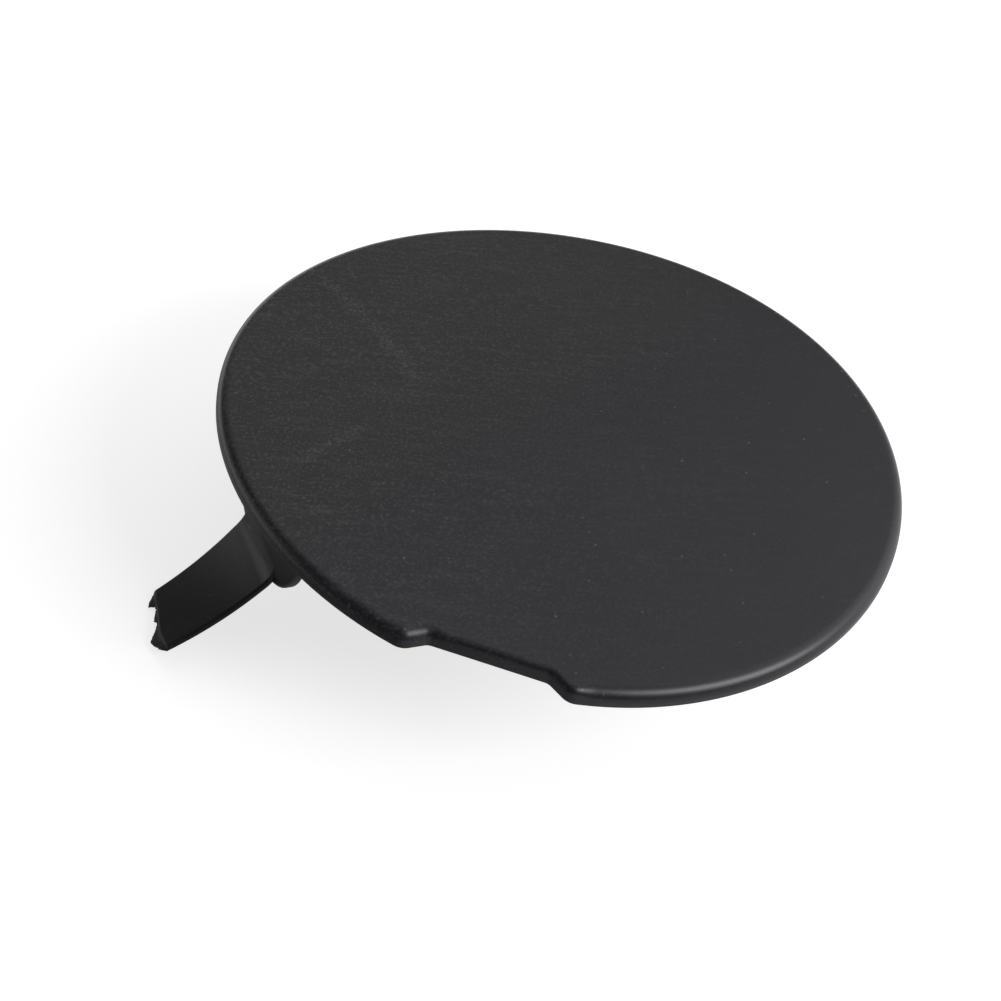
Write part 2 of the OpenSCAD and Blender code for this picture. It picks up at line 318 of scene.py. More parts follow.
def make_piece(name, points, faces, smooth_angle, layers=None):
    """Puts points (n, 3) and a list of face arrays (k, 3) or (k, 4) into a mesh object at the origin, with
    smooth shading that breaks at corners sharper than smooth_angle degrees, gives it its body and finish,
    and hides the imported node."""
    mesh = bpy.data.meshes.new(name)
    mesh.vertices.add(len(points))
    mesh.vertices.foreach_set("co", np.ascontiguousarray(points, np.float32).ravel())
    corners = np.concatenate([f.ravel() for f in faces]).astype(np.int32)
    totals = np.concatenate([np.full(len(f), f.shape[1]) for f in faces])
    starts = np.concatenate([[0], np.cumsum(totals)[:-1]]).astype(np.int32)
    mesh.loops.add(len(corners))
    mesh.loops.foreach_set("vertex_index", corners)
    mesh.polygons.add(len(totals))
    mesh.polygons.foreach_set("loop_start", starts)
    mesh.update(calc_edges=True)
    for key, values in (layers or {}).items():
        layer = mesh.attributes.new(key, "FLOAT", "POINT")
        layer.data.foreach_set("value", np.ascontiguousarray(values, np.float32))
    mesh.validate()
    mesh.shade_smooth()
    mesh.set_sharp_from_angle(angle=math.radians(smooth_angle))
    piece = bpy.data.objects.new(name, mesh)
    bpy.context.scene.collection.objects.link(piece)
    mesh.materials.append(black_plastic())
    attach(piece, BODY)
    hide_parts(NODE)
    return piece


def soften(piece):
    """Small rounds on the sharp corners of a piece."""
    bevel = piece.modifiers.new("corner rounds", "BEVEL")
    bevel.width = sizes().corner_round
    bevel.segments = 2
    bevel.limit_method = "ANGLE"
    bevel.angle_limit = math.radians(35)
    bevel.harden_normals = False


def tuned(tree, kind, settings=None, sockets=None):
    """A shader node with its settings and socket values."""
    node = tree.nodes.new(kind)
    for key, value in (settings or {}).items():
        setattr(node, key, value)
    for key, value in (sockets or {}).items():
        node.inputs[key].default_value = value
    return node


def ramp(tree, source, low, high, to_low=0.0, to_high=1.0):
    """Maps a value from low..high to to_low..to_high, smoothly, and clamps it."""
    node = tuned(tree, "ShaderNodeMapRange", {"interpolation_type": "SMOOTHSTEP"},
                 {"From Min": low, "From Max": high, "To Min": to_low, "To Max": to_high})
    tree.links.new(source, node.inputs["Value"])
    return node.outputs["Result"]


def maths(tree, operation, *values):
    """Joins values, each a number or a socket, by one operation from left to right."""
    total, *rest = values
    for value in rest or [None]:
        node = tuned(tree, "ShaderNodeMath", {"operation": operation})
        for socket, term in zip(node.inputs, (total, value)):
            if isinstance(term, (int, float)):
                socket.default_value = term
            elif term is not None:
                tree.links.new(term, socket)
        total = node.outputs[0]
    return total


def blend_colour(tree, share, first, second):
    """First colour where share is 0, second where it is 1. Each is a colour or a socket."""
    node = tuned(tree, "ShaderNodeMix", {"data_type": "RGBA"})
    tree.links.new(share, node.inputs["Factor"])
    for key, value in (("A", first), ("B", second)):
        socket = [i for i in node.inputs if i.name == key and i.type == "RGBA"][0]
        if hasattr(value, "links"):
            tree.links.new(value, socket)
        else:
            socket.default_value = (*value, 1)
    return [o for o in node.outputs if o.type == "RGBA"][0]


def noise(tree, place, scale, detail, rough=0.5, stretch=1, turn=0.0):
    """Noise of about 1/scale metres, stretched along its own x axis and turned in plan."""
    mapping = tuned(tree, "ShaderNodeMapping", {"vector_type": "TEXTURE"},
                    {"Scale": (stretch, 1, 1), "Rotation": (0, 0, turn)})
    tree.links.new(place, mapping.inputs["Vector"])
    node = tuned(tree, "ShaderNodeTexNoise", sockets={"Scale": scale, "Detail": detail, "Roughness": rough})
    tree.links.new(mapping.outputs["Vector"], node.inputs["Vector"])
    return node.outputs["Fac"]


def along_direction(tree, source, direction):
    """Part of a place or direction that lies along another direction, given in plan or in space."""
    part = tuned(tree, "ShaderNodeVectorMath", {"operation": "DOT_PRODUCT"})
    part.inputs[1].default_value = (*direction, 0)[:3]
    tree.links.new(source, part.inputs[0])
    return part.outputs["Value"]


# Directions in plan in which the grain gets paler and the plastic cooler
WORN_SIDE = (-0.8, 0.6)
COOL_SIDE = (0.53, -0.85)

# Pale flow marks in plan: middle, a point that the mark runs towards, half its length, half its width
FLOW_MARKS = [
    ((-0.0187, 0.0201), (-0.0153, 0.0101), 0.0125, 0.0015),
    ((-0.0281, -0.0011), (-0.0227, 0.0020), 0.006, 0.0013),
]

# How far a flow mark bows out of its line: so many metres for the square of the distance from its middle
MARK_BOW = 6.0


def flow_mark(tree, place, middle, end, half, width):
    """A soft, slightly bowed line in plan about a middle point and towards an end point: 1 on the line, 0
    past the width to either side, and fading over the last two fifths of its half length."""
    direction = np.array(end) - np.array(middle)
    direction = direction / np.linalg.norm(direction)
    normal = np.array([-direction[1], direction[0]])

    def from_middle(axis):
        return maths(tree, "SUBTRACT", along_direction(tree, place, axis), float(np.dot(middle, axis)))

    along, across = from_middle(direction), from_middle(normal)
    bow = maths(tree, "MULTIPLY", along, along, MARK_BOW)
    off = maths(tree, "ABSOLUTE", maths(tree, "ADD", across, bow))
    near = ramp(tree, off, 0.0, width, 1.0, 0.0)
    ends = ramp(tree, maths(tree, "ABSOLUTE", along), half * 0.6, half, 1.0, 0.0)
    return maths(tree, "MULTIPLY", near, ends)


def below_cap(tree, place):
    """Share of painted shade below the cap: 0 from the seat plane up, 1 from 4 mm below it down."""
    parts = tuned(tree, "ShaderNodeSeparateXYZ")
    tree.links.new(place, parts.inputs[0])
    return ramp(tree, parts.outputs["Z"], -4 * MM, 0.0, 1.0, 0.0)


def plain_colour(tree, place, hangs):
    """Colour of the plastic alone: cooler on one side of the face, and darker where hangs is 1, as painted
    shade below the cap.
    """
    f = finish()
    cool = ramp(tree, along_direction(tree, place, COOL_SIDE), -22 * MM, 14 * MM)
    face = blend_colour(tree, cool, tuple(f.plastic), tuple(f.plastic_cool))
    return blend_colour(tree, hangs, face, tuple(f.plastic_in_shade))


def pale_grain(tree, place, hangs, speckle, scuff):
    """How much the grain pales the plastic: the peaks of the speckle and of the scuffs, more so on the worn
    side of the face and a quarter as much where hangs is 1, as painted shade below the cap, and a slow
    change of tone."""
    f = finish()
    peaks = maths(tree, "ADD", ramp(tree, speckle, 0.47, 0.74, 0.0, f.grain),
                  ramp(tree, scuff, 0.46, 0.74, 0.0, f.scuffs))
    side = ramp(tree, along_direction(tree, place, WORN_SIDE), -35 * MM, 35 * MM, 0.22, 1.15)
    # Painted shade: below the cap the pale grain fades to a quarter
    grain_kept_in_shade = maths(tree, "SUBTRACT", 1.0, maths(tree, "MULTIPLY", hangs, 0.75))
    worn = maths(tree, "MULTIPLY", side, grain_kept_in_shade)
    cloud = ramp(tree, noise(tree, place, f.cloud_scale, 3.0), 0.35, 0.7, 0.0, 0.05)
    return maths(tree, "ADD", maths(tree, "MULTIPLY", peaks, worn), cloud)


def flow_marks(tree, place, speckle):
    """How much the flow marks pale the plastic: all marks, broken up by the speckle."""
    marks = maths(tree, "MAXIMUM", *(flow_mark(tree, place, *mark) for mark in FLOW_MARKS))
    return maths(tree, "MULTIPLY", marks, ramp(tree, speckle, 0.40, 0.70, 0.05, 0.58))


def dust_specks(tree, place):
    """Round specks in a few cells of a flat pattern, picked by one random value and as strong as another."""
    cells = tuned(tree, "ShaderNodeTexVoronoi", {"voronoi_dimensions": "2D"}, {"Scale": finish().dust_scale})
    tree.links.new(place, cells.inputs["Vector"])
    pick = tuned(tree, "ShaderNodeSeparateColor")
    tree.links.new(cells.outputs["Color"], pick.inputs["Color"])
    speck = ramp(tree, cells.outputs["Distance"], 0.02, 0.085, 1.0, 0.0)
    chosen = ramp(tree, pick.outputs["Red"], 0.79, 0.83)
    strength = maths(tree, "POWER", pick.outputs["Green"], 2.5)
    return maths(tree, "MULTIPLY", speck, chosen, strength)


def stress_white(tree, place):
    """Whitening of the tear, which the tether's own attribute gives, broken up into fibres."""
    torn = tuned(tree, "ShaderNodeAttribute", {"attribute_name": "torn"})
    fibres = ramp(tree, noise(tree, place, finish().fibre_scale, 3.0), 0.35, 0.65, 0.35, 1.0)
    return maths(tree, "MULTIPLY", torn.outputs["Fac"], fibres)


def black_plastic():
    """Matt moulded black plastic: a fine grain, short faint scuffs, pale flow marks, specks of dust, and
    white stress where the tether tore. The parts below the cap are darker, with fainter grain, as painted
    shade."""
    found = bpy.data.materials.get("black_plastic_finish")
    if found:
        return found
    f = finish()
    material = bpy.data.materials.new("black_plastic_finish")
    material.use_nodes = True
    tree = material.node_tree
    shader = tree.nodes["Principled BSDF"]
    place = tree.nodes.new("ShaderNodeTexCoord").outputs["Object"]
    # Painted shade: below the cap the plastic is darker and its grain fainter
    hangs = below_cap(tree, place)
    speckle = noise(tree, place, f.grain_scale, 3.0, rough=0.7)
    scuff = noise(tree, place, f.scuff_scale, 2.0, rough=0.6, stretch=f.scuff_stretch, turn=f.scuff_turn)

    grain = pale_grain(tree, place, hangs, speckle, scuff)
    pale = maths(tree, "ADD", grain, flow_marks(tree, place, speckle))
    base = blend_colour(tree, pale, plain_colour(tree, place, hangs), tuple(f.bloom))
    base = blend_colour(tree, dust_specks(tree, place), base, tuple(f.dust))
    base = blend_colour(tree, stress_white(tree, place), base, tuple(f.break_white))
    tree.links.new(base, shader.inputs["Base Color"])
    shader.inputs["Roughness"].default_value = f.roughness

    height = maths(tree, "ADD", maths(tree, "MULTIPLY", speckle, 0.6), maths(tree, "MULTIPLY", scuff, 0.4))
    bump = tuned(tree, "ShaderNodeBump", sockets={"Strength": f.bump, "Distance": f.bump_height})
    tree.links.new(height, bump.inputs["Height"])
    tree.links.new(bump.outputs["Normal"], shader.inputs["Normal"])
    return material


def arc_run(centre, radius, start, stop, count, hollow=False):
    """Points and outward directions along an arc from angle start to stop. A hollow arc's outside is the side
    of its centre."""
    a = np.linspace(start, stop, count)
    out = np.stack([np.cos(a), np.sin(a)], -1)
    return np.array(centre) + radius * out, -out if hollow else out


def line_run(start, stop, out, count):
    """Points along a straight line, without its ends, and their outward direction."""
    t = np.linspace(0, 1, count + 2)[1:-1, None]
    points = np.array(start) * (1 - t) + np.array(stop) * t
    return points, np.broadcast_to(np.array(out, float), points.shape)


def cap_outline():
    """Outline of the cap in plan, as points and outward directions, anticlockwise. Half of it runs from the
    middle of the notch along the floor, a hollow arc, the ramp, a round corner and the rim to the far side;
    the other half is its mirror image, and the whole is turned to the notch's direction."""
    s = sizes()
    ramp_dir = np.array([math.sin(s.notch_ramp), math.cos(s.notch_ramp)])
    ramp_out = np.array([math.cos(s.notch_ramp), -math.sin(s.notch_ramp)])
    foot = np.array([s.notch_floor, s.notch_length / 2])
    base = foot - s.notch_corner * ramp_out
    along = base @ ramp_dir
    run = -along + math.sqrt(along ** 2 - base @ base + (s.cap_radius - s.notch_corner) ** 2)
    corner = base + run * ramp_dir
    corner_a = math.atan2(corner[1], corner[0])
    hollow = foot + s.notch_fillet * np.array([1, -math.tan(s.notch_ramp / 2)])
    hollow_run = arc_run(hollow, s.notch_fillet, math.pi, math.pi - s.notch_ramp, 9, hollow=True)
    corner_run = arc_run(corner, s.notch_corner, -s.notch_ramp, corner_a, 17)
    runs = [
        line_run((s.notch_floor, 0), hollow_run[0][0], (1, 0), 14),
        hollow_run,
        line_run(hollow_run[0][-1], corner_run[0][0], ramp_out, 5),
        corner_run,
        tuple(part[1:] for part in arc_run((0, 0), s.cap_radius, corner_a, math.pi, 330)),
    ]

    def whole(half):
        both = np.concatenate([half[:-1], half[::-1] * np.array([1, -1])])
        return around(both, s.notch_turn)

    return whole(np.concatenate([r[0] for r in runs])), whole(np.concatenate([r[1] for r in runs]))


def soft_radius(outline):
    """Radius of the cap's soft round at each point of the outline: small along the floor and the second ramp
    of the notch, and larger round the rim, with a smooth step in between."""
    s = sizes()
    turn = np.arctan2(outline[:, 1], outline[:, 0]) - s.notch_turn - s.notch_round_turn
    facing = math.pi - np.abs(turn % (2 * math.pi) - math.pi)
    away = np.clip((facing - s.notch_round_half) / s.notch_round_fade, 0, 1)
    return s.notch_round + (s.edge_round - s.notch_round) * away ** 2 * (3 - 2 * away)


def cap_rings():
    """Rings of the cap's skin from the middle of the face to the middle of the underside. The face's rings
    shrink the inner edge of the soft round towards the centre; the round, the wall and the lower round are
    offsets of the outline; every ring lies its own drop below the bent face."""
    s = sizes()
    outline, out = cap_outline()
    soft = soft_radius(outline)
    lower = s.lower_round
    top = np.linspace(math.pi / 2, 0, 20)[:, None]
    wall = soft + (s.cap_thickness - lower - soft) * np.linspace(0, 1, 5)[1:-1, None]
    low = np.linspace(0, math.pi / 2, 6)[:, None] * np.ones_like(soft)
    inset = np.concatenate([soft * (1 - np.cos(top)), np.zeros_like(wall), lower * (1 - np.cos(low))])
    drop = np.concatenate([soft * (1 - np.sin(top)), wall, s.cap_thickness - lower + lower * np.sin(low)])
    face = eased(26, 0.35)[1:-1]
    under = np.linspace(1, 0, 14)[1:-1]
    share = np.concatenate([face, np.ones(len(inset)), under])

    def with_ends(rows):
        return np.concatenate([np.repeat(rows[:1], len(face), 0), rows, np.repeat(rows[-1:], len(under), 0)])

    plan = (outline[None] - with_ends(inset)[..., None] * out[None]) * share[:, None, None]
    height = face_height(plan[..., 1]) - with_ends(drop)
    return np.concatenate([plan, height[..., None]], -1)


class COVER_OT_cap(bpy.types.Operator):
    """Round bent cap with a soft edge that follows the pry notch"""

    bl_idname = "tow_cover.cap"
    bl_label = "Cap"

    def execute(self, context):
        points, faces = loft(cap_rings())
        make_piece("cap", points, faces, smooth_angle=60)
        return {"FINISHED"}


def flare(depth):
    """Width that a quarter-round fillet adds to a wall at a depth below the underside."""
    radius = sizes().root_flare
    t = np.clip(1 - depth / radius, 0, 1)
    return radius * (1 - np.sqrt(1 - t ** 2)) * (depth < radius)


def wall_heights(y, bottom, count):
    """Heights (..., count) from inside the cap down to bottom, closer together in the fillet."""
    s = sizes()
    under = underside(y)[..., None]
    fillet = under - s.root_flare * np.linspace(0, 1, 6) ** 2
    shank = fillet[..., -1:] + (bottom - fillet[..., -1:]) * np.linspace(0, 1, count)[1:]
    return np.concatenate([under + s.cap_thickness / 2, fillet, shank], -1)


def turned_ring(turn, outer_wall, end, inner_wall):
    """Points and faces of a ring whose section runs down the outer wall, over the end's corners, given as
    radius and height, and up the inner wall."""
    corners = [polar(radius, turn[:, None], height) for radius, height in end]
    section = np.concatenate([outer_wall, *corners, inner_wall[:, ::-1]], 1)
    return loft(section[:, ::-1].swapaxes(0, 1), wrap=True)


class COVER_OT_ring(bpy.types.Operator):
    """Locating ring under the cap, with a chamfered free end"""

    bl_idname = "tow_cover.locating_ring"
    bl_label = "Locating ring"

    def execute(self, context):
        s = sizes()
        turn = np.linspace(0, 2 * math.pi, 481)[:-1]
        inner, outer = s.ring_radius - s.ring_wall, s.ring_radius
        bottom, cut = -s.ring_reach, s.ring_chamfer

        # Outer wall: level at its top, with a 45 degree flare from there to the cap
        level = face_height(outer + s.ring_rim) - s.cap_thickness
        top = underside(outer * np.sin(turn))[:, None] + s.cap_thickness / 2
        flare_z = level + (top - level) * np.linspace(1, 0, 8)
        shank_z = np.broadcast_to(np.linspace(level, bottom + cut, 7)[1:], (len(turn), 6))
        out_z = np.concatenate([flare_z, shank_z], 1)
        outer_wall = polar(outer + np.maximum(out_z - level, 0), turn[:, None], out_z)

        in_y = inner * np.sin(turn)
        in_z = wall_heights(in_y, bottom + cut, 6)
        inner_wall = polar(inner - flare(underside(in_y)[:, None] - in_z), turn[:, None], in_z)
        end = [(outer - cut, bottom), (inner + cut / 2, bottom), (inner, bottom + cut / 2)]
        points, faces = turned_ring(turn, outer_wall, end, inner_wall)
        make_piece("locating_ring", points, faces, smooth_angle=35)
        return {"FINISHED"}


class COVER_OT_tongues(bpy.types.Operator):
    """Springy tongues inside the ring, each with a hook at its end"""

    bl_idname = "tow_cover.snap_tongues"
    bl_label = "Snap tongues"

    def execute(self, context):
        s = sizes()
        outer = s.ring_radius - s.ring_wall - s.hook_gap - s.hook_out
        inner = outer - s.tongue_thickness
        half = s.tongue_width / outer / 2
        root = s.crown - s.cap_thickness
        tip = -s.tongue_reach
        shoulder = -s.ring_reach - s.lip
        crest = shoulder - s.hook_slope
        nose = crest - s.hook_land
        hook = np.array([crest, *np.linspace(nose, tip, 6)])
        across = np.linspace(0, 1, 5)
        for name, k in (("snap_tongue_low", -1), ("snap_tongue_mid", 0), ("snap_tongue_high", 1)):
            middle = s.tongue_turn + k * s.tongue_step
            turn = middle + half * np.linspace(-1, 1, 23)
            y = outer * np.sin(turn)
            z = wall_heights(y, shoulder, 9)
            z = np.concatenate([z, np.broadcast_to(hook, (len(turn), len(hook)))], 1)
            foot = flare(underside(y)[:, None] - z)
            bulge = np.interp(-z, [-shoulder, -crest, -nose, -tip],
                              [0, s.hook_out, s.hook_out, -s.tongue_draw])
            inner_r = inner - s.tongue_root * np.clip((z - tip) / (root - tip), 0, 1) - foot
            outer_r = outer + bulge + foot
            radius = inner_r[:, None, :] + (outer_r - inner_r)[:, None, :] * across[None, :, None]
            side = (turn - middle)[:, None, None] * (1 + foot[:, None, :] / (half * outer))
            lattice = polar(radius, middle + side, z[:, None, :])
            points, faces, _ = block(lattice[:, ::-1])
            soften(make_piece(name, points, faces, smooth_angle=30))
        return {"FINISHED"}


class COVER_OT_ribs(bpy.types.Operator):
    """Hub rib and the ribs that run from it to the locating ring"""

    bl_idname = "tow_cover.ribs"
    bl_label = "Stiffening ribs"

    def execute(self, context):
        s = sizes()
        bottom = s.crown - s.cap_thickness - s.rib_height
        cut = s.hub_chamfer
        turn = np.linspace(0, 2 * math.pi, 241)[:-1]

        def wall(radius, sign):
            y = radius * np.sin(turn)
            z = wall_heights(y, bottom + cut, 5)
            return polar(radius + sign * flare(underside(y)[:, None] - z), turn[:, None], z)

        inner, outer = s.hub_radius - s.rib_thickness, s.hub_radius
        end = [(outer - cut, bottom), (inner + cut, bottom)]
        points, faces = turned_ring(turn, wall(outer, 1), end, wall(inner, -1))
        make_piece("hub_rib", points, faces, smooth_angle=35)

        # Two ribs between the tongues, and three on the side of the notch
        opposite = s.tongue_turn + math.pi
        step = (math.pi - s.tongue_step) / 2
        turns = [s.tongue_turn - s.tongue_step / 2, s.tongue_turn + s.tongue_step / 2,
                 opposite - step, opposite, opposite + step]
        half = s.rib_thickness / 2
        along = np.linspace(s.hub_radius - half, s.ring_radius - s.ring_wall / 2, 40)
        across = np.linspace(-1, 1, 5)
        for count, direction in enumerate(turns, 1):
            y = along * math.sin(direction)
            z = wall_heights(y, bottom, 6)
            foot = flare(underside(y)[:, None] - z)
            side = across[None, :, None] * (half + foot[:, None, :])
            plan = around(np.stack(np.broadcast_arrays(along[:, None, None], side), -1), direction)
            height = np.broadcast_to(z[:, None, :], plan.shape[:-1])
            lattice = np.concatenate([plan, height[..., None]], -1)
            points, faces, _ = block(lattice[:, :, ::-1])
            soften(make_piece(f"rib_{count}", points, faces, smooth_angle=30))
        return {"FINISHED"}


def tether_frame(points):
    """Moves points from the tether's own frame, x outwards from the lug's face, y across and z up from the
    root, to the row's frame."""
    s = sizes()
    plan = around(np.stack([s.lug_radius + points[..., 0], points[..., 1]], -1), s.tether_turn)
    return np.concatenate([plan, points[..., 2:] + s.crown - s.root_depth], -1)


class COVER_OT_lug(bpy.types.Operator):
    """Round lug that hangs under the edge and carries the tether"""

    bl_idname = "tow_cover.lug"
    bl_label = "Lug"

    def execute(self, context):
        s = sizes()

        # Outline of the lug's face: a circle that is cut off level inside the wall of the cap
        middle = -s.tether_thickness / math.cos(s.tether_slope) - s.lug_foot + s.lug_round
        top = s.root_depth - 0.75 * s.cap_thickness
        lift = math.asin(min(1, (top - middle) / s.lug_round))
        arc, out = arc_run((0, middle), s.lug_round, math.pi - lift, 2 * math.pi + lift, 121)
        bar = np.linspace(arc[-1], arc[0], 30)[1:-1]
        rim = np.concatenate([arc, bar])
        out = np.concatenate([out, np.zeros_like(bar)])

        # Rings from the middle of the outer face over the round edges to the middle of the inner face
        fan = eased(10, 0.2)[1:-1]
        turn = np.linspace(0, math.pi / 2, 6)
        rise = s.lug_edge * (1 - np.sin(turn))
        run = s.lug_edge * (1 - np.cos(turn))
        flat = np.zeros(len(fan))
        pad = flat + s.lug_edge
        share = np.concatenate([fan, np.ones(2 * len(turn)), fan[::-1]])
        inset = np.concatenate([pad, rise, run, pad])
        depth = np.concatenate([flat, run, s.lug_thickness - rise, flat + s.lug_thickness])
        centre = np.array([0, (top + middle - s.lug_round) / 2])
        plane = centre + (rim[None] - inset[:, None, None] * out[None] - centre) * share[:, None, None]
        back = np.broadcast_to(-depth[:, None], plane.shape[:2])
        points, faces = loft(tether_frame(np.concatenate([back[..., None], plane], -1)))
        make_piece("tether_lug", points, faces, smooth_angle=35)
        return {"FINISHED"}


# Place across the tether as a share of its half width, and how far its upper and its lower side reach past
# the end, in millimetres
TEAR = np.array([
    [-1, -0.4, 0.6], [-0.9, -0.35, 1.2], [-0.78, -0.15, 1.4], [-0.64, 0, 0.6], [-0.48, 0.05, 0.65],
    [-0.36, 0.05, 1], [-0.22, 0.1, 1.15], [-0.08, 0.2, 0.95], [0.06, 0.3, 1.1], [0.18, 0.35, 1.5],
    [0.31, 0.4, 2], [0.42, 0.45, 2.2], [0.58, 0.45, 1.9], [0.75, 0.35, 1.5], [0.9, 0.25, 0.9],
    [1, 0.2, 0.5],
])

# How far past its length the tether may still bend and twist, where the tear reaches out
PAST_END = 1.2

# Creases in the fold: place across the tether and spread, as shares of its half width
CREASES = [(-0.60, 0.10), (0.55, 0.13)]
CREASE_PLACE = 0.1 * MM
CREASE_SPREAD = 0.17 * MM


def tether_path(along):
    """Slope, run and fall of the tether's upper side. It leaves the lug's face nearly straight down, turns
    through the fold's arc to its first slope, runs straight, and then bends up in one arc to the slope at the
    tear. Run and fall are sums of the slope's cosine and sine over fine steps, counted from the root's
    corner."""
    s = sizes()
    tangent = s.tether_fold * math.tan((math.pi / 2 - s.tether_slope) / 2)
    fine = np.linspace(along.min(), along.max(), 4000)
    first = np.clip((tangent - fine) / s.tether_fold, 0, s.fold_slope - s.tether_slope)
    later = np.clip((fine - s.tether_straight) / (s.tether_length - s.tether_straight), 0, PAST_END)
    slope = s.tether_slope + first - (s.tether_slope - s.tear_slope) * later
    step = np.diff(fine)
    middle = (slope[1:] + slope[:-1]) / 2
    run = np.concatenate([[0], np.cumsum(np.cos(middle) * step)])
    fall = np.concatenate([[0], np.cumsum(np.sin(middle) * step)])
    mark = (tangent + s.tether_straight) / 2
    run += mark * math.cos(s.tether_slope) - np.interp(mark, fine, run)
    fall += mark * math.sin(s.tether_slope) - np.interp(mark, fine, fall)
    return tuple(np.interp(along, fine, values) for values in (slope, run, fall))


def tear_reach(across, deep):
    """How far the torn end reaches past the tether's length: from the upper lip to the lower one by a power
    of the depth, with random fibres, smoothed across, that come in below the upper face."""
    s = sizes()
    upper, lower = (np.interp(across, TEAR[:, 0], TEAR[:, k])[:, None] * MM for k in (1, 2))
    down = ((1 - deep) / 2)[None, :]
    rough = np.random.default_rng(s.tear_seed).normal(size=(len(across), len(deep)))
    rough = np.pad(rough, ((1, 1), (0, 0)))
    fibres = 0.25 * rough[:-2] + 0.5 * rough[1:-1] + 0.25 * rough[2:]
    return upper + (lower - upper) * down ** 0.8 + s.tear_fibre * fibres * np.minimum(1, 4 * down)


class COVER_OT_tether(bpy.types.Operator):
    """Tether that folds out of the lug, twists as it runs and ends in a ragged tear"""

    bl_idname = "tow_cover.tether"
    bl_label = "Tether"

    def execute(self, context):
        s = sizes()
        half_w, half_t = s.tether_width / 2, s.tether_thickness / 2

        # Grid along, across and through the tether, closer in the fold, at the sides and at the tear
        past_fold = 2 * MM
        stretch = s.tether_length - s.tear_stretch
        along = np.concatenate([np.linspace(-s.tether_foot, past_fold, 40),
                                np.linspace(past_fold, stretch, 60)[1:],
                                np.linspace(stretch, s.tether_length, 24)[1:]])[:, None, None]
        across = bordered(0.05, 5, 121)
        deep = bordered(0.3, 4, 7)
        v, d = np.meshgrid(across * half_w, deep * half_t, indexing="ij")
        v, d = softened(v, d, half_w, half_t, s.tether_round)

        # Place along the tether, with the end drawn out to the tear
        drawn = np.clip((along - stretch) / s.tear_stretch, 0, 1) ** 1.5
        place = along + drawn * tear_reach(across, deep)
        slope, run, fall = tether_path(place)
        twist = s.tether_twist * np.clip(place / s.tether_length, 0, PAST_END)

        # Creases: bell curves along and across, on the upper half of the thickness
        folds = sum(np.exp(-np.square((v / half_w - side) / spread)) for side, spread in CREASES)
        crease = s.crease_depth * folds * np.exp(-np.square((place - CREASE_PLACE) / CREASE_SPREAD)) * (d > 0)
        lift = v * np.sin(twist) - (half_t - d + crease) * np.cos(twist)
        y = v * np.cos(twist) + (half_t - d) * np.sin(twist)
        lattice = np.stack([run + np.sin(slope) * lift, y, np.cos(slope) * lift - fall], -1)
        points, faces, used = block(tether_frame(lattice))

        # White of the tear: a bell curve below the upper face, weaker towards the sides
        torn = np.zeros(place.shape)
        torn[-1] = np.exp(-np.square((deep - 0.78) / 0.28)) * (0.8 - 0.25 * np.abs(across)[:, None])
        make_piece("tether", points, faces, smooth_angle=38, layers={"torn": torn.ravel()[used]})
        return {"FINISHED"}


# How the mirrored floor's glow grows out of the painted shadow at the left front: direction in plan, where
# that begins and ends, and by how much
FLOOR_GLOW = [
    ((0.86, -0.50), -0.03, 0.05, 0.54),
    ((-0.45, 0.89), 0.022, 0.045, 0.16),
    ((-0.45, 0.89), 0.06, 0.20, 1.20),
    ((0.90, 0.43), 0.00, 0.20, 0.50),
]


def floor_finish():
    """Pale floor that is clear from below. The camera sees it lit up to white, with the object's shadow kept.
    Reflections meet a glowing floor instead: dim at the left front, a painted shadow of the cover, and
    brighter to the right and the back."""
    st = studio()
    material = bpy.data.materials.new("pale_floor")
    material.use_nodes = True
    material.cycles.emission_sampling = "NONE"
    tree = material.node_tree
    tree.nodes.clear()
    place = tree.nodes.new("ShaderNodeTexCoord").outputs["Object"]
    path = tree.nodes.new("ShaderNodeLightPath")
    seen, mirrored = path.outputs["Is Camera Ray"], path.outputs["Is Glossy Ray"]
    # Glow for reflections only: it starts dim as a painted shadow at the left front and grows brighter away
    # from it
    glow = st.floor_dim
    for direction, start, stop, gain in FLOOR_GLOW:
        brighter = ramp(tree, along_direction(tree, place, direction), start, stop, 0.0, gain)
        glow = maths(tree, "ADD", brighter, glow)
    tone = maths(tree, "MULTIPLY", maths(tree, "SUBTRACT", 1.0, mirrored), st.floor_tone)
    diffuse = tuned(tree, "ShaderNodeBsdfDiffuse")
    tree.links.new(tone, diffuse.inputs["Color"])
    shine = tuned(tree, "ShaderNodeEmission", sockets={"Color": (1, 1, 1, 1)})
    lift = maths(tree, "ADD", maths(tree, "MULTIPLY", seen, st.floor_lift),
                 maths(tree, "MULTIPLY", glow, mirrored))
    tree.links.new(lift, shine.inputs["Strength"])
    both = tree.nodes.new("ShaderNodeAddShader")
    tree.links.new(diffuse.outputs[0], both.inputs[0])
    tree.links.new(shine.outputs[0], both.inputs[1])
    clear = tree.nodes.new("ShaderNodeBsdfTransparent")
    side = tree.nodes.new("ShaderNodeNewGeometry")
    mix = tree.nodes.new("ShaderNodeMixShader")
    tree.links.new(side.outputs["Backfacing"], mix.inputs[0])
    tree.links.new(both.outputs[0], mix.inputs[1])
    tree.links.new(clear.outputs[0], mix.inputs[2])
    out = tree.nodes.new("ShaderNodeOutputMaterial")
    tree.links.new(mix.outputs[0], out.inputs["Surface"])
    return material


# Soft bright patches of the surroundings: azimuth and elevation, strength, angle of the full and of the
# outer edge, all angles in degrees
PATCHES = [
    (354, 16, 0.38, 3, 43),
    (7, 32, 0.94, 6, 41),
    (76, 50, 0.44, 8, 46),
    (0, 85, 0.30, 10, 50),
    (156, 10, 0.75, 3, 22),
]


def towards(azimuth, elevation):
    """Direction with an azimuth, counted from +x, and an elevation."""
    level = math.cos(elevation)
    return level * math.cos(azimuth), level * math.sin(azimuth), math.sin(elevation)


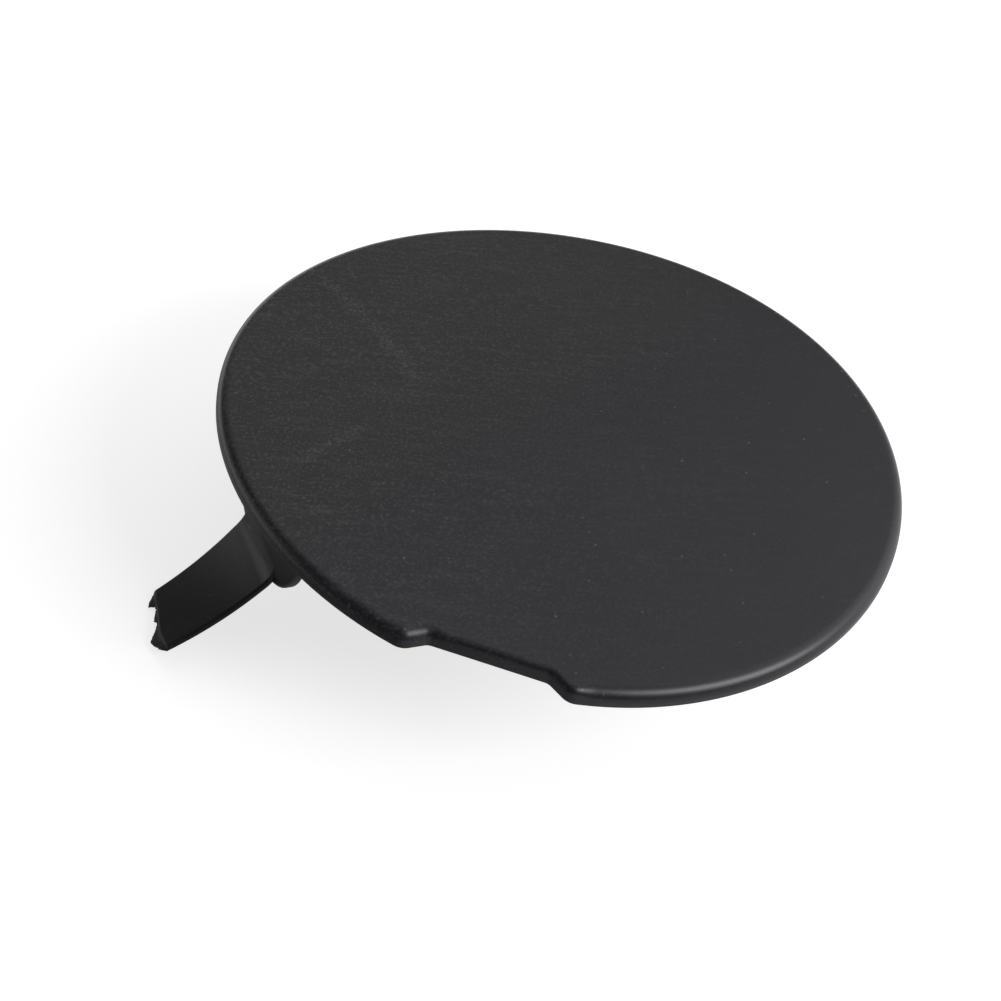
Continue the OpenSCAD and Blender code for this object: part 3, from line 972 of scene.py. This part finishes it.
def surroundings():
    """White for the camera. For light and reflections: a dim even sky with a few soft bright patches."""
    world = bpy.data.worlds.new("surroundings")
    world.use_nodes = True
    tree = world.node_tree
    direction = tree.nodes.new("ShaderNodeTexCoord").outputs["Generated"]
    patches = []
    for *angles, strength, inner, outer in PATCHES:
        aim = along_direction(tree, direction, towards(*np.radians(angles)))
        patches.append(ramp(tree, aim, math.cos(math.radians(outer)), math.cos(math.radians(inner)),
                            0.0, strength))
    lit = maths(tree, "ADD", *patches, studio().sky)
    seen = tree.nodes.new("ShaderNodeLightPath").outputs["Is Camera Ray"]
    unseen = maths(tree, "SUBTRACT", 1.0, seen)
    background = tree.nodes["Background"]
    background.inputs["Color"].default_value = (1, 1, 1, 1)
    strength = maths(tree, "ADD", maths(tree, "MULTIPLY", lit, unseen), seen)
    tree.links.new(strength, background.inputs["Strength"])
    return world


def window_light():
    """Large soft light that stands one metre from the origin and points at it."""
    st = studio()
    light = bpy.data.lights.new("window", "AREA")
    light.shape = "RECTANGLE"
    light.size = st.window_width
    light.size_y = st.window_height
    light.energy = st.window_power
    lamp = bpy.data.objects.new("window", light)
    bpy.context.scene.collection.objects.link(lamp)
    back = Vector(towards(st.window_azimuth, st.window_elevation))
    up = back.cross(Vector(st.window_along)).normalized()
    turn = Matrix((up.cross(back), up, back)).transposed()
    lamp.matrix_world = Matrix.Translation(back) @ turn.to_4x4()


class COVER_OT_stage(bpy.types.Operator):
    """Pale floor, white surroundings, a soft window light and the camera"""

    bl_idname = "tow_cover.stage"
    bl_label = "Studio"

    def execute(self, context):
        scene = context.scene
        st = studio()
        half = st.floor_size / 2
        level = CAD_BOX[0][2] - st.floor_gap
        mesh = bpy.data.meshes.new("floor")
        corners = [(-half, -half, level), (half, -half, level), (half, half, level), (-half, half, level)]
        mesh.from_pydata(corners, [], [(0, 1, 2, 3)])
        floor = bpy.data.objects.new("floor", mesh)
        scene.collection.objects.link(floor)
        mesh.materials.append(floor_finish())

        scene.world = surroundings()
        window_light()

        camera = bpy.data.cameras.new("camera")
        camera.lens = st.lens_mm
        camera.sensor_width = st.sensor_mm
        camera.clip_start = 0.01
        camera.clip_end = 50
        view = bpy.data.objects.new("camera", camera)
        scene.collection.objects.link(view)
        view.location = st.camera_place
        view.rotation_euler = Euler(st.camera_turn)
        scene.camera = view
        scene.view_settings.view_transform = "Standard"
        return {"FINISHED"}


class COVER_PT_panel(bpy.types.Panel):
    """Lists the pieces of the cover"""

    bl_idname = "COVER_PT_panel"
    bl_label = "Tow hook cover"
    bl_space_type = "VIEW_3D"
    bl_region_type = "UI"
    bl_category = "Tow cover"

    def draw(self, context):
        for operator in PIECES:
            self.layout.operator(operator.bl_idname)


PIECES = [COVER_OT_stage, COVER_OT_cap, COVER_OT_ring, COVER_OT_tongues, COVER_OT_ribs, COVER_OT_lug,
          COVER_OT_tether]
GROUPS = {"cover_sizes": CoverSizes, "cover_finish": CoverFinish, "cover_studio": CoverStudio}


def register():
    for cls in [*GROUPS.values(), *PIECES, COVER_PT_panel]:
        bpy.utils.register_class(cls)
    for name, group in GROUPS.items():
        setattr(bpy.types.Scene, name, PointerProperty(type=group))


def unregister():
    for name in GROUPS:
        delattr(bpy.types.Scene, name)
    for cls in reversed([*GROUPS.values(), *PIECES, COVER_PT_panel]):
        bpy.utils.unregister_class(cls)


def main():
    register()
    bpy.ops.tow_cover.stage()
    bpy.ops.tow_cover.cap()
    bpy.ops.tow_cover.locating_ring()
    bpy.ops.tow_cover.snap_tongues()
    bpy.ops.tow_cover.ribs()
    bpy.ops.tow_cover.lug()
    bpy.ops.tow_cover.tether()


if __name__ == "__main__":
    main()
